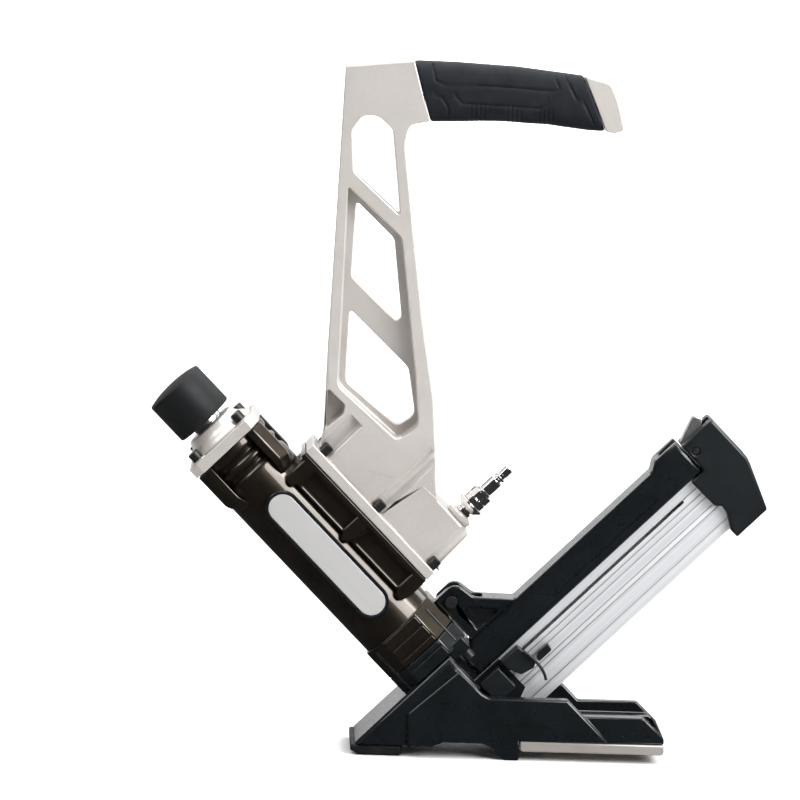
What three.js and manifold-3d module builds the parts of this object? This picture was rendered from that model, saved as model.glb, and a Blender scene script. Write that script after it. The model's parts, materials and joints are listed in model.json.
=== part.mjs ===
// Manual-strike pneumatic flooring nailer, in millimetres, +Z up.
// The origin is the centre of the sole plate's underside: +X runs toward the magazine, +Y to the far side.
// The drive line slopes down at 45 degrees, so most of the tool is built in the "drive" group, where
// local x = a (down along the drive line), local y = Y, and local z = b (up along the magazine).
import * as THREE from 'three';
import { mergeVertices } from 'three/addons/utils/BufferGeometryUtils.js';
import Module from 'manifold-3d';

const wasm = await Module();
wasm.setup();

// ---- driving dimensions ----
const GAP = 0.3; // clearance between pieces that touch
const TILT = Math.PI / 4; // drive line slope
const DRIVE_B = -45; // drive line height above the corner of the drive frame
const BODY_TOP = -376; // a of the body's top face
const BODY_END = -152; // a where the body meets the black nose collar
const COLLAR_END = -136; // a where the collar meets the base
const BODY_R = 33.5; // outer radius of the body tube
const HALF = 34; // half width of the body's square ends and of the handle flange
const SKIRT_FACET = 16; // corner cut of the body's lower end and of the collar
const BORE_R = 29.2; // bore that takes the cylinder sleeve
const SLEEVE_R = 24; // cylinder sleeve bore
const SLEEVE_TOP = -330;
const SLEEVE_END = -206;
const STROKE_BLADE = 3; // driver blade thickness
const BASE_HALF = 40; // half width of the base
const SOLE_T = 8; // sole plate thickness
const FOOT_DROP = 7.5; // how far the foot and the nose hook reach below the sole
const MAG_NEAR = -38; // b where the magazine extrusion starts
const MAG_FAR = 205; // b where it ends
const RAIL_HALF = 12.5; // half width of the extrusion
const RAIL_TOP = 104; // distance of the extrusion's top face below the drive corner, along -a
const RAIL_LOW = 54; // the same for its bottom edge
const BEAM_HALF = 17; // half width of the magazine beam
const CAP_SCREW_OFF = 23; // head screws stand this far from the drive line, both ways
const STRIKE_FACE = -444.5; // a of the striking cap's crown
const FLANGE_SCREWS_A = [-324, -262, -198.5]; // handle flange screws, two at each
const FLANGE_SCREW_Y = 27.5;
const PANELS_A = [[-316, -268], [-253, -205]]; // sunk panels in the side of the body's air box
const COLLAR_SCREWS_B = [-19, -71]; // collar screws, two at each
const COLLAR_SCREW_Y = 24;
const SOLE_SCREWS_X = [-40, 34]; // sole plate screws, two at each
const SOLE_SCREW_Y = 14;
const INLET_A = -209; // air inlet axis
const PIVOT = [-164, -1]; // bracket screw axis
const LATCH_AXIS = [-120, 225]; // latch pin axis

// ---- colours ----
const paint = (color, roughness, metalness) =>
  new THREE.MeshStandardMaterial({ color, roughness, metalness });
const bronze = paint(0x3a3128, 0.32, 0.85);
const champagne = paint(0xd2cac2, 0.42, 0.7);
const black = paint(0x23282b, 0.5, 0.1);
const rubber = paint(0x17191b, 0.8, 0);
const steel = paint(0xb9b9b6, 0.35, 1);
const darkSteel = paint(0x3a3c3e, 0.4, 0.9);
const chrome = paint(0xd9dadb, 0.12, 1);
const aluminium = paint(0xdfe1e6, 0.35, 0.9);
const plate = paint(0xd7d0c6, 0.4, 0.8);
const sealBlack = paint(0x101112, 0.7, 0);

const world = new THREE.Group();
const drive = new THREE.Group();
drive.rotation.y = TILT;
world.add(drive);

// ---- helpers ----
const solid = (geometry) => {
  const bare = geometry.clone();
  bare.deleteAttribute('normal');
  bare.deleteAttribute('uv');
  const merged = mergeVertices(bare, 1e-4);
  const vertProperties = Float32Array.from(merged.attributes.position.array);
  const corners = Array.from(merged.index.array);
  // a triangle whose corners merged is only an edge, and is left out
  const faces = [];
  let volume = 0;
  const corner = (i) => new THREE.Vector3().fromArray(vertProperties, i * 3);
  for (let i = 0; i < corners.length; i += 3) {
    const [p, q, r] = corners.slice(i, i + 3);
    if (p === q || q === r || r === p) continue;
    faces.push([p, q, r]);
    volume += corner(p).dot(corner(q).cross(corner(r)));
  }
  // faces point outward whichever way the outline was drawn
  if (volume < 0) faces.forEach((face) => face.reverse());
  const triVerts = Uint32Array.from(faces.flat());
  return new wasm.Manifold(new wasm.Mesh({ numProp: 3, vertProperties, triVerts }));
};

const geometryOf = (body) => {
  const mesh = body.getMesh();
  const geometry = new THREE.BufferGeometry();
  geometry.setAttribute('position', new THREE.BufferAttribute(mesh.vertProperties, 3));
  geometry.setIndex(new THREE.BufferAttribute(mesh.triVerts, 1));
  geometry.computeVertexNormals();
  return geometry;
};

const add = (group, name, shape, material) => {
  const geometry = shape instanceof THREE.BufferGeometry ? shape : geometryOf(shape);
  const mesh = new THREE.Mesh(geometry, material);
  mesh.name = name;
  group.add(mesh);
};

// outline points are [x, z] or [x, z, corner radius]
const outlineShape = (points, edge = 0) => {
  const shape = new THREE.Shape();
  points.forEach(([x, z, wanted = 0], i) => {
    const here = new THREE.Vector2(x, z);
    const before = new THREE.Vector2(...points.at(i - 1).slice(0, 2)).sub(here);
    const after = new THREE.Vector2(...points[(i + 1) % points.length].slice(0, 2)).sub(here);
    const room = Math.min(wanted, before.length() * 0.45, after.length() * 0.45);
    const radius = room > edge * 1.3 ? room : 0;
    const start = here.clone().add(before.setLength(radius));
    const end = here.clone().add(after.setLength(radius));
    if (i === 0) shape.moveTo(start.x, start.y);
    else shape.lineTo(start.x, start.y);
    if (radius > 0) shape.quadraticCurveTo(x, z, end.x, end.y);
  });
  shape.closePath();
  return shape;
};

// an outline in the x-z plane, thick along y, with optional eased edges
const slab = (points, y0, y1, edge = 0, steps = 3) => {
  const geometry = new THREE.ExtrudeGeometry(outlineShape(points, edge), {
    depth: y1 - y0 - 2 * edge,
    bevelEnabled: edge > 0,
    bevelThickness: edge,
    bevelSize: edge,
    bevelOffset: -edge,
    bevelSegments: 2,
    curveSegments: steps,
  });
  geometry.rotateX(Math.PI / 2);
  geometry.translate(0, y1 - edge, 0);
  return solid(geometry);
};

const turn = (profile, segments) =>
  new THREE.LatheGeometry(profile.map(([along, radius]) => new THREE.Vector2(radius, along)), segments);

// round pieces: the profile is [position along the axis, radius]
const roundA = (profile, b, y = 0, segments = 24) => {
  const geometry = turn(profile, segments);
  geometry.rotateZ(-Math.PI / 2);
  geometry.translate(0, y, b);
  return solid(geometry);
};
const roundZ = (profile, x, y = 0, segments = 28) => {
  const geometry = turn(profile, segments);
  geometry.rotateX(Math.PI / 2);
  geometry.translate(x, y, 0);
  return solid(geometry);
};
const roundY = (y0, y1, radius, x, z, segments = 20) => {
  const geometry = new THREE.CylinderGeometry(radius, radius, y1 - y0, segments);
  geometry.translate(x, (y0 + y1) / 2, z);
  return solid(geometry);
};
const block = (x0, x1, y0, y1, z0, z1) => {
  const geometry = new THREE.BoxGeometry(x1 - x0, y1 - y0, z1 - z0);
  geometry.translate((x0 + x1) / 2, (y0 + y1) / 2, (z0 + z1) / 2);
  return solid(geometry);
};
// an outline of [x, y] points drawn out along z
const bar = (points, z0, z1) => {
  const shape = new THREE.Shape(points.map(([x, y]) => new THREE.Vector2(x, y)));
  const geometry = new THREE.ExtrudeGeometry(shape, { depth: z1 - z0, bevelEnabled: false });
  geometry.translate(0, 0, z0);
  return solid(geometry);
};
const rod = (from, to, radius) => [[from, 0], [from, radius], [to, radius], [to, 0]];
const ring = (from, to, inner, outer) => [[from, inner], [from, outer], [to, outer], [to, inner], [from, inner]];
// a cut made in drive-frame coordinates, for a piece that is built in the world frame
const tilted = (body) => {
  const geometry = geometryOf(body);
  geometry.rotateY(TILT);
  return solid(geometry);
};
const join = (...bodies) => bodies.reduce((sum, body) => sum.add(body));
const cut = (body, ...tools) => tools.reduce((rest, tool) => rest.subtract(tool), body);

// a square section with rounded corners, in the y-b plane, drawn out along a
const squarePrism = (a0, a1, half, corner, chamferOnly = false) => {
  const b0 = DRIVE_B - half;
  const b1 = DRIVE_B + half;
  const shape = new THREE.Shape();
  const turnCorner = (x, y, endX, endY) => {
    if (chamferOnly) shape.lineTo(endX, endY);
    else shape.quadraticCurveTo(x, y, endX, endY);
  };
  shape.moveTo(b0 + corner, -half);
  shape.lineTo(b1 - corner, -half);
  turnCorner(b1, -half, b1, corner - half);
  shape.lineTo(b1, half - corner);
  turnCorner(b1, half, b1 - corner, half);
  shape.lineTo(b0 + corner, half);
  turnCorner(b0, half, b0, half - corner);
  shape.lineTo(b0, corner - half);
  turnCorner(b0, -half, b0 + corner, -half);
  const geometry = new THREE.ExtrudeGeometry(shape, { depth: a1 - a0, bevelEnabled: false, curveSegments: 4 });
  // the shape's x becomes b, its y becomes -y, and its depth becomes a
  geometry.rotateX(Math.PI);
  geometry.rotateY(-Math.PI / 2);
  geometry.translate(a0, 0, 0);
  const box = new THREE.Box3().setFromBufferAttribute(geometry.attributes.position);
  geometry.translate(a0 - box.min.x, 0, b0 - box.min.z);
  return solid(geometry);
};

// ---- socket-head screws, as separate pieces ----
const screwA = (name, headFrom, headTo, tip, b, y, headR, shankR, material) => {
  const flip = tip > headFrom ? 1 : -1;
  const socket = headR * 0.5;
  const deep = headFrom + flip * 3;
  const profile = [
    [deep, 0], [deep, socket], [headFrom, socket], [headFrom, headR], [headTo, headR], [headTo, shankR],
    [tip, shankR], [tip, 0],
  ];
  if (flip < 0) profile.reverse();
  add(drive, name, roundA(profile, b, y, 8), material);
};
const alongB = (profile, a, y, segments = 8) => {
  const geometry = turn(profile, segments);
  geometry.rotateX(Math.PI / 2);
  geometry.translate(a, y, 0);
  return solid(geometry);
};

// ================= striking end =================
const strikerCap = () => {
  const cap = roundA([
    [STRIKE_FACE, 0], [-444, 10], [-442.8, 18], [-441.4, 23.4], [-440.6, 24.8], [-439.6, 25], [-406, 25],
    [-405, 24.2], [-405, 0],
  ], DRIVE_B, 0, 28);
  return cut(cap, roundA(rod(-425, -400, 9.3), DRIVE_B, 0, 24));
};
add(drive, 'striker_cap', strikerCap(), rubber);

add(drive, 'plunger_stem', roundA([
  [-424.7, 0], [-424.7, 9], [-404.7, 9], [-404.7, 13], [-377, 13], [-377, 15.5], [-373.5, 15.5],
  [-373.5, 7], [-351.8, 7], [-351.8, 0],
], DRIVE_B, 0, 24), steel);

const headCap = () => {
  const flange = squarePrism(-386, -376.8, 34.2, 8, true);
  const dome = roundA([[-400, 0], [-399.5, 19], [-396, 24], [-386, 33], [-385, 0]], DRIVE_B, 0, 28);
  const cap = join(flange, dome);
  const bores = [
    roundA(rod(-402, -379, 13.4), DRIVE_B, 0, 24),
    roundA(rod(-379.2, -370, 16.4), DRIVE_B, 0, 24),
  ];
  for (const db of [-CAP_SCREW_OFF, CAP_SCREW_OFF]) {
    for (const y of [-CAP_SCREW_OFF, CAP_SCREW_OFF]) {
      bores.push(roundA(rod(-402, -386.2, 6.6), DRIVE_B + db, y, 16));
      bores.push(roundA(rod(-390, -370, 2.8), DRIVE_B + db, y, 8));
    }
  }
  return cut(cap, ...bores);
};
add(drive, 'head_cap', headCap(), champagne);

let screwNumber = 0;
for (const db of [-CAP_SCREW_OFF, CAP_SCREW_OFF]) {
  for (const y of [-CAP_SCREW_OFF, CAP_SCREW_OFF]) {
    screwNumber += 1;
    screwA(`head_screw_${screwNumber}`, -394.5, -386.5, -358, DRIVE_B + db, y, 4.7, 2.5, darkSteel);
  }
}

// ================= main body =================
const screwHoles = (from, to, radius) => {
  const holes = [];
  for (const db of [-CAP_SCREW_OFF, CAP_SCREW_OFF]) {
    for (const y of [-CAP_SCREW_OFF, CAP_SCREW_OFF]) {
      holes.push(roundA(rod(from, to, radius), DRIVE_B + db, y, 8));
    }
  }
  return holes;
};
const WALL = 32; // half width of the air box
const PANEL_DEPTH = 3.6;

// a shallow groove across both flat sides of the body's lower end
const sideGroove = (a, half) => join(
  ...[-1, 1].map((side) => block(a - half, a + half, side * HALF - 1, side * HALF + 1, -62, -28)),
);
const collarScrewHoles = (from, to, radius) => COLLAR_SCREWS_B.flatMap((b) => (
  [-COLLAR_SCREW_Y, COLLAR_SCREW_Y].map((y) => roundA(rod(from, to, radius), b, y, 8))
));

const mainBody = () => {
  const tube = roundA(rod(BODY_TOP + 2, BODY_END - 1, BODY_R), DRIVE_B, 0, 32);
  const topSquare = squarePrism(BODY_TOP, -343, HALF - 1, 8, true);
  const topTaper = squarePrism(-346, -326, HALF - 1, 8, true).intersect(
    roundA([[-350, 0], [-350, 44], [-343, 42], [-335, 36], [-326, 33], [-326, 0]], DRIVE_B, 0, 32),
  );
  const skirt = squarePrism(-180, BODY_END - GAP, HALF, SKIRT_FACET, true);
  const box = slab([[-333, -6], [-323, -24.6, 2], [-199, -24.6, 2], [-193, -6]], -WALL, WALL);
  const flange = slab([
    [-334, -2, 2], [-331, -6.5, 1], [-194, -6.5, 1], [-193, -2, 2],
  ], -HALF, HALF);
  // each flange screw has a boss that ends in a taper on the tube
  const bosses = FLANGE_SCREWS_A.map((a) => slab([
    [a - 6, -4], [a - 6, -22], [a - 2.5, -28.5], [a + 2.5, -28.5], [a + 6, -22], [a + 6, -4],
  ], -HALF + 0.4, HALF - 0.4));
  const ear = slab([[-172, -20], [-172, 6, 5], [-156, 6, 5], [-156, -20]], -7.5, 7.5);
  let body = join(tube, topSquare, topTaper, skirt, box, flange, ...bosses, ear);
  const cuts = [
    roundA(rod(-352, -341, 31), DRIVE_B, 0, 28), // chamber for the head valve
    roundA(rod(BODY_TOP - 5, -200, BORE_R), DRIVE_B, 0, 28),
    roundA(rod(-205, BODY_END + 5, 25.2), DRIVE_B, 0, 28),
    slab([[-326, -24], [-200, -24], [-200, 4], [-326, 4]], -24, 24),
    roundY(-12, 12, 2.8, ...PIVOT, 12),
    ...screwHoles(BODY_TOP - 5, -350, 2.8),
  ];
  for (const [from, to] of PANELS_A) {
    for (const side of [-1, 1]) {
      const near = side < 0 ? -WALL : WALL - PANEL_DEPTH;
      cuts.push(slab([[from, -8, 2], [from, -21.4, 2], [to, -21.4, 2], [to, -8, 2]], near, near + PANEL_DEPTH));
    }
  }
  for (const a of FLANGE_SCREWS_A) {
    for (const y of [-FLANGE_SCREW_Y, FLANGE_SCREW_Y]) cuts.push(alongB(rod(-16, 5, 2.3), a, y));
  }
  // a shallow field on each side of the head end, crossed by two scalloped grooves
  for (const side of [-1, 1]) {
    const out = side * (HALF + 2);
    const sunk = side * (HALF - 2);
    cuts.push(bar([[-373.5, out], [-373.5, sunk], [-343, sunk], [-337, out]], -63.5, -25.5));
    for (const a of [-366, -354.5]) {
      cuts.push(bar([[a - 2.6, out], [a - 2.2, sunk], [a, side * (HALF - 4.6)], [a + 2.2, sunk], [a + 2.6, out]], -65, -24));
      const ridge = DRIVE_B + side * (HALF + 1);
      const base = DRIVE_B + side * (HALF - 3.4);
      cuts.push(slab([[a - 3.4, ridge], [a, base], [a + 3.4, ridge]], -24, 24));
    }
  }
  for (const a of [-169.5, -158.5]) cuts.push(sideGroove(a, 0.9));
  cuts.push(...collarScrewHoles(-178, BODY_END + 5, 2.3));
  return cut(body, ...cuts);
};
add(drive, 'main_body', mainBody(), bronze);

for (const [name, side] of [['badge_near', -1], ['badge_far', 1]]) {
  const from = side * 33.8;
  const to = side * 36.2;
  const outline = [[-328, -31, 13], [-197, -31, 13], [-197, -59, 13], [-328, -59, 13]];
  add(drive, name, slab(outline, Math.min(from, to), Math.max(from, to), 0, 5), steel);
}

// the collar carries the body down to the base
const noseCollar = () => {
  const shell = squarePrism(BODY_END, COLLAR_END - GAP, HALF, SKIRT_FACET, true);
  const lip = slab([[-140, -29], [-140, -13], [-129, -13], [-129, -29]], -30, 30);
  const cuts = [
    roundA(rod(-160, -141, 21), DRIVE_B, 0, 24),
    roundA(rod(-150, -120, 9), DRIVE_B, 0, 20),
  ];
  cuts.push(sideGroove(-147.1, 0.8), ...collarScrewHoles(-160, -120, 2.6));
  return cut(join(shell, lip), ...cuts);
};
add(drive, 'nose_collar', noseCollar(), black);

screwNumber = 0;
for (const [b, head] of [[COLLAR_SCREWS_B[0], -128.6], [COLLAR_SCREWS_B[1], -128.4]]) {
  for (const y of [-COLLAR_SCREW_Y, COLLAR_SCREW_Y]) {
    screwNumber += 1;
    screwA(`collar_screw_${screwNumber}`, head + 7.5, head, -176, b, y, 4.6, 2, darkSteel);
  }
}

// ================= inside the body =================
add(drive, 'head_gasket', cut(
  squarePrism(BODY_TOP - 0.55, BODY_TOP - GAP / 2, HALF - 2, 13),
  roundA(rod(-380, -370, 27), DRIVE_B, 0, 24),
  ...screwHoles(-380, -370, 3.2),
), sealBlack);
add(drive, 'plunger_spring', roundA(ring(-373.1, -352.4, 9, 11), DRIVE_B, 0, 24), steel);
add(drive, 'valve_cage', cut(
  roundA(rod(-352, -345.3, 28.8), DRIVE_B, 0, 24),
  roundA(rod(-360, -340, 8), DRIVE_B, 0, 20),
), aluminium);
add(drive, 'head_valve', roundA([
  [-344.9, 0], [-344.9, 27], [-339, 27], [-339, 20], [-334.5, 20], [-334.5, 0],
], DRIVE_B, 0, 24), aluminium);
add(drive, 'cylinder_sleeve', roundA(ring(SLEEVE_TOP, SLEEVE_END, SLEEVE_R, 27), DRIVE_B, 0, 28), steel);
add(drive, 'cylinder_seal', roundA(ring(-216, -212, 27.3, 28.9), DRIVE_B, 0, 24), sealBlack);
add(drive, 'drive_piston', cut(
  roundA([[-327, 0], [-327, 23.4], [-320, 23.4], [-320, 21.4], [-316, 21.4], [-316, 23.4], [-304, 23.4],
    [-303, 12], [-303, 0]], DRIVE_B, 0, 24),
  block(-310, -300, -4.5, 4.5, DRIVE_B - 2, DRIVE_B + 2),
), aluminium);
add(drive, 'piston_ring', roundA(ring(-319.7, -316.3, 21.7, 23.7), DRIVE_B, 0, 24), sealBlack);
add(drive, 'driver_blade', block(-309.7, -135, -4, 4, DRIVE_B - STROKE_BLADE / 2, DRIVE_B + STROKE_BLADE / 2), steel);
add(drive, 'bumper', roundA(ring(-205.5, -182, 9, 24.8), DRIVE_B, 0, 24), rubber);

// ================= handle casting =================
const toDrive = (x, z) => [(x - z) * Math.SQRT1_2, (x + z) * Math.SQRT1_2];
const local = (points) => points.map(([x, z, r = 0]) => [...toDrive(x, z), r]);

const handleCasting = () => {
  const flange = slab([[-334, -1, 1], [-334, 7.5, 2], [-193, 7.5, 2], [-193, -1, 1]], -HALF, HALF);
  const side = local([
    [-215, 540.6, 2], [-222, 310], [-223, 246, 6], [-227, 231], [-127.6, 141.6], [-137, 280], [-148, 344],
    [-160, 432], [-166.5, 482, 8], [-163, 496, 4], [-147.2, 499.4], [-160.8, 546.7],
  ]);
  const column = slab(side, -28, 28, 0, 4);
  // the column narrows toward the top
  const taper = new THREE.Shape([
    new THREE.Vector2(-28, 140), new THREE.Vector2(28, 140), new THREE.Vector2(27, 250),
    new THREE.Vector2(20, 330), new THREE.Vector2(16.5, 420), new THREE.Vector2(15.5, 560),
    new THREE.Vector2(-15.5, 560), new THREE.Vector2(-16.5, 420), new THREE.Vector2(-20, 330),
    new THREE.Vector2(-27, 250),
  ]);
  const wedge = new THREE.ExtrudeGeometry(taper, { depth: 300, bevelEnabled: false });
  wedge.rotateX(Math.PI / 2);
  wedge.rotateZ(Math.PI / 2);
  wedge.translate(-350, 0, 0);
  wedge.rotateY(-TILT);
  const housing = slab([
    [-262, 4], [-250, 48, 3], [-195.5, 48, 3], [-193.5, 4],
  ], -28, 28);
  const slope = slab([[-330, 4], [-322, 9], [-300, 16], [-250, 48], [-240, 4]], -28, 28);
  // the end cap of the bar is one piece with the casting, on a core that runs through the grip
  const barEnd = slab(local([
    [-25.6, 538.4, 2], [-5, 533.6, 3], [1.5, 520, 4], [7, 497, 2], [-0.6, 494.8], [-6.9, 495.4],
  ]), -15, 15);
  const core = slab(local([
    [-158, 532], [-100, 533], [-50, 530], [-14, 525], [-10, 506], [-50, 513], [-100, 516], [-158, 516],
  ]), -8, 8);
  let casting = column.intersect(solid(wedge)).add(join(flange, housing, slope, barEnd, core));
  const window1 = local([
    [-208.5, 491, 3], [-200, 502.5, 4], [-188, 502.5, 4], [-176, 492, 4], [-168, 424, 3], [-206, 458, 3],
  ]);
  const window2 = local([
    [-203, 434, 4], [-172, 405, 3], [-164, 342, 4], [-168, 339, 2], [-205, 374, 3],
  ]);
  const window3 = local([[-205.5, 348, 5], [-157, 302, 4], [-150.5, 264, 5], [-164, 255, 4], [-207, 290, 5]]);
  const cuts = [slab(window1, -40, 40), slab(window2, -40, 40), slab(window3, -40, 40)];
  const panel = local([
    [-210, 446, 3], [-166, 407, 4], [-152, 302, 3], [-147.5, 258, 5], [-164, 246, 4], [-213, 288, 5],
  ]);
  const pocket = local([[-221, 286, 3], [-207, 273, 2], [-208, 266, 2], [-222, 254, 3]]);
  for (const side of [-1, 1]) {
    const near = side < 0 ? -40 : 4;
    cuts.push(slab(panel, near, near + 36));
    cuts.push(slab(pocket, side < 0 ? -40 : 12, side < 0 ? -12 : 40));
  }
  // half-round channels that let a driver reach the flange screws
  FLANGE_SCREWS_A.forEach((a, i) => {
    for (const y of [-FLANGE_SCREW_Y, FLANGE_SCREW_Y]) {
      cuts.push(alongB(rod(7.8, [45, 73, 60][i], 6.3), a, y, 16));
      cuts.push(alongB(rod(-3, 12, 2.6), a, y));
    }
  });
  // air reservoir, open to the body through the flange, and the inlet bore
  cuts.push(slab([[-322, -3], [-322, 5], [-296, 10], [-250, 40], [-203, 40], [-203, -3]], -19, 19));
  cuts.push(alongB(rod(30, 60, 6.7), INLET_A, 0, 16));
  return cut(casting, ...cuts);
};
add(drive, 'handle_casting', handleCasting(), champagne);

add(drive, 'handle_gasket', cut(
  slab([[-333, -1.7], [-333, -1.3], [-194, -1.3], [-194, -1.7]], -33, 33),
  block(-322, -203, -20, 20, -5, 5),
  ...FLANGE_SCREWS_A.flatMap((a) => [-FLANGE_SCREW_Y, FLANGE_SCREW_Y].map((y) => alongB(rod(-5, 5, 3), a, y))),
), sealBlack);

screwNumber = 0;
for (const a of FLANGE_SCREWS_A) {
  for (const y of [-FLANGE_SCREW_Y, FLANGE_SCREW_Y]) {
    screwNumber += 1;
    const screw = alongB([
      [-14, 0], [-14, 2], [8.1, 2], [8.1, 4.5], [16, 4.5], [16, 2.3], [13, 2.3], [13, 0],
    ], a, y);
    add(drive, `handle_screw_${screwNumber}`, screw, darkSteel);
  }
}

const gripSleeve = () => {
  const outline = local([
    [-175, 547], [-120, 546.6], [-70, 544.6], [-20, 539.5], [0, 494.6], [-30, 495.8],
    [-60, 499.3], [-100, 500.8], [-160, 498.3],
  ]);
  const bore = local([
    [-170, 532.4], [-100, 533.4], [-50, 530.4], [-13.6, 525.4], [0, 520], [0, 505], [-9.6, 505.6], [-50, 512.6],
    [-100, 515.6], [-170, 515.6],
  ]);
  const head = local([[-190, 560], [-163.7, 560], [-141.1, 480], [-190, 480]]);
  const tail = local([[-26.4, 560], [-26.4, 538], [-7.7, 495], [-7.7, 480], [20, 480], [20, 560]]);
  return cut(slab(outline, -16.5, 16.5, 4.5, 3), slab(bore, -8.4, 8.4), slab(head, -30, 30), slab(tail, -30, 30));
};
add(drive, 'grip_sleeve', gripSleeve(), rubber);

// ================= air inlet =================
const inlet = (name, profile, segments, material) =>
  add(drive, name, alongB(profile, INLET_A, 0, segments), material);
inlet('inlet_bushing', [
  [32, 3.5], [32, 6.3], [48.3, 6.3], [48.3, 11.2], [52.5, 11.2], [53.5, 8.5], [53.5, 3.5], [32, 3.5],
], 24, steel);
inlet('swivel_neck', [
  [40, 2.2], [40, 3.2], [53.8, 3.2], [53.8, 6.4], [57.7, 6.4], [63, 11], [64.5, 11], [64.5, 2.2], [40, 2.2],
], 24, chrome);
inlet('swivel_body', [
  [64.8, 2.2], [64.8, 8.9], [77, 8.9], [77, 6], [79, 6], [79, 2.2], [64.8, 2.2],
], 24, chrome);
inlet('air_plug', [
  [79.3, 1.6], [79.3, 5.4], [92, 5.4], [92, 3.2], [94, 3.2], [94, 4.7], [96, 4.7], [96, 3.2], [98.5, 3.2],
  [98.5, 3.7], [105.7, 3.5], [105.7, 1.6], [79.3, 1.6],
], 20, chrome);

// ================= base =================
const SOLE_SCREWS = SOLE_SCREWS_X.flatMap((x) => [[x, -SOLE_SCREW_Y], [x, SOLE_SCREW_Y]]);

const baseShoe = () => {
  const hook = [
    [-59, 6.5], [-59, -FOOT_DROP], [-71, -FOOT_DROP], [-75, -3.5], [-80, 1], [-84, 3.8], [-89, 5.4],
  ];
  const top = SOLE_T + GAP;
  const panel = slab([
    [-149, 1.5], [-149, 28], [-109, 63.5], [-90, 46], [-84, 42.5, 3], [-21.5, 42.5, 2], [12.7, top],
    [-60.5, top], ...hook, [-120, 5.4], [-128.6, 1.5],
  ], -BASE_HALF, BASE_HALF, 1.6);
  const tail = slab([
    [-30, 42], [-20, 40.5], [-9.5, 29.5], [40, 29.5, 2], [57, 13], [57, top], [-30, top],
  ], -BASE_HALF + 2.5, BASE_HALF - 2.5, 1.2);
  const wedge = tilted(slab([
    [COLLAR_END, -29.5], [COLLAR_END, -134, 4], [-120, -150], [-100, -134], [-82, -50], [-100, -29.5],
  ], -BASE_HALF + 2.5, BASE_HALF - 2.5, 5));
  const cap = block(-240, -90, -60, 60, 1.5, 90);
  let shoe = join(panel, tail, wedge.intersect(cap));
  // open channel between the cheeks: the magazine and the nose block sit in it
  const trough = slab([
    [-98, 90], [-98, 40], [-66.6, 14], [-35, 14], [44, 14], [70, 14], [70, 90],
  ], -22, 22);
  const innerTrough = slab([[-99.5, 90], [-99.5, 38], [-60, 20], [70, 20], [70, 90]], -29, 29);
  const pocket = slab([[-146, -20], [-146, 26], [-124.5, 47.5], [-86, 9], [-86, -20]], -30, 30);
  const relief = [-1, 1].map((side) => slab([
    [-98, 5], [-84, 22, 3], [-35, 22, 6], [-27, 8],
  ], side < 0 ? -41 : 39.3, side < 0 ? -39.3 : 41));
  const railRoom = tilted(block(-104.6, -53.3, -RAIL_HALF - 0.5, RAIL_HALF + 0.5, MAG_NEAR - 0.6, 200));
  const guideRoom = tilted(block(-106.3, -55.7, -9.3, 9.3, -43.3, -37));
  // above the board's top face the hook steps back, so that only the fence touches the board's edge
  const fenceStep = block(-59.8, -50, -60, 60, -0.4, SOLE_T);
  // the fastener travels down this channel
  const channel = tilted(block(-140, -30, -4.6, 4.6, DRIVE_B - 1.9, DRIVE_B + 1.9));
  const cuts = [trough, innerTrough, pocket, ...relief, channel, railRoom, guideRoom, fenceStep];
  for (const y of [-COLLAR_SCREW_Y, COLLAR_SCREW_Y]) {
    cuts.push(tilted(roundA(rod(-140, -125, 2.6), COLLAR_SCREWS_B[1], y, 8)));
    cuts.push(tilted(roundA(rod(-129, -112, 5.4), COLLAR_SCREWS_B[1], y, 10)));
    cuts.push(tilted(roundA(rod(-132, -100, 5.6), COLLAR_SCREWS_B[0], y, 10)));
  }
  for (const [x, y] of SOLE_SCREWS) cuts.push(roundZ(rod(0, 30, 2.4), x, y, 8));
  for (const y of [-20, 20]) cuts.push(roundZ(rod(0, 8, 2.4), -173, y, 8));
  return cut(shoe, ...cuts);
};
add(world, 'base_shoe', baseShoe(), black);

add(world, 'sole_plate', cut(
  slab([[-58, 0, 3], [-58, SOLE_T], [57, SOLE_T], [57, 0, 3]], -BASE_HALF, BASE_HALF),
  ...SOLE_SCREWS.flatMap(([x, y]) => [roundZ(rod(-1, 20, 2.4), x, y, 8), roundZ(rod(-1, 4.6, 5), x, y, 10)]),
), plate);

SOLE_SCREWS.forEach(([x, y], i) => {
  add(world, `sole_screw_${i + 1}`, roundZ([
    [2.2, 0], [2.2, 1.8], [0.8, 1.8], [0.8, 4.6], [4.3, 4.6], [4.3, 2.1], [12.5, 2.1], [12.5, 0],
  ], x, y, 8), darkSteel);
});

add(world, 'front_foot', slab([
  [-194, 1.2], [-153, 1.2], [-153, -FOOT_DROP, 3], [-186, -FOOT_DROP, 3], [-194, -3.5, 2],
], -35, 35, 2), rubber);

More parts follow.
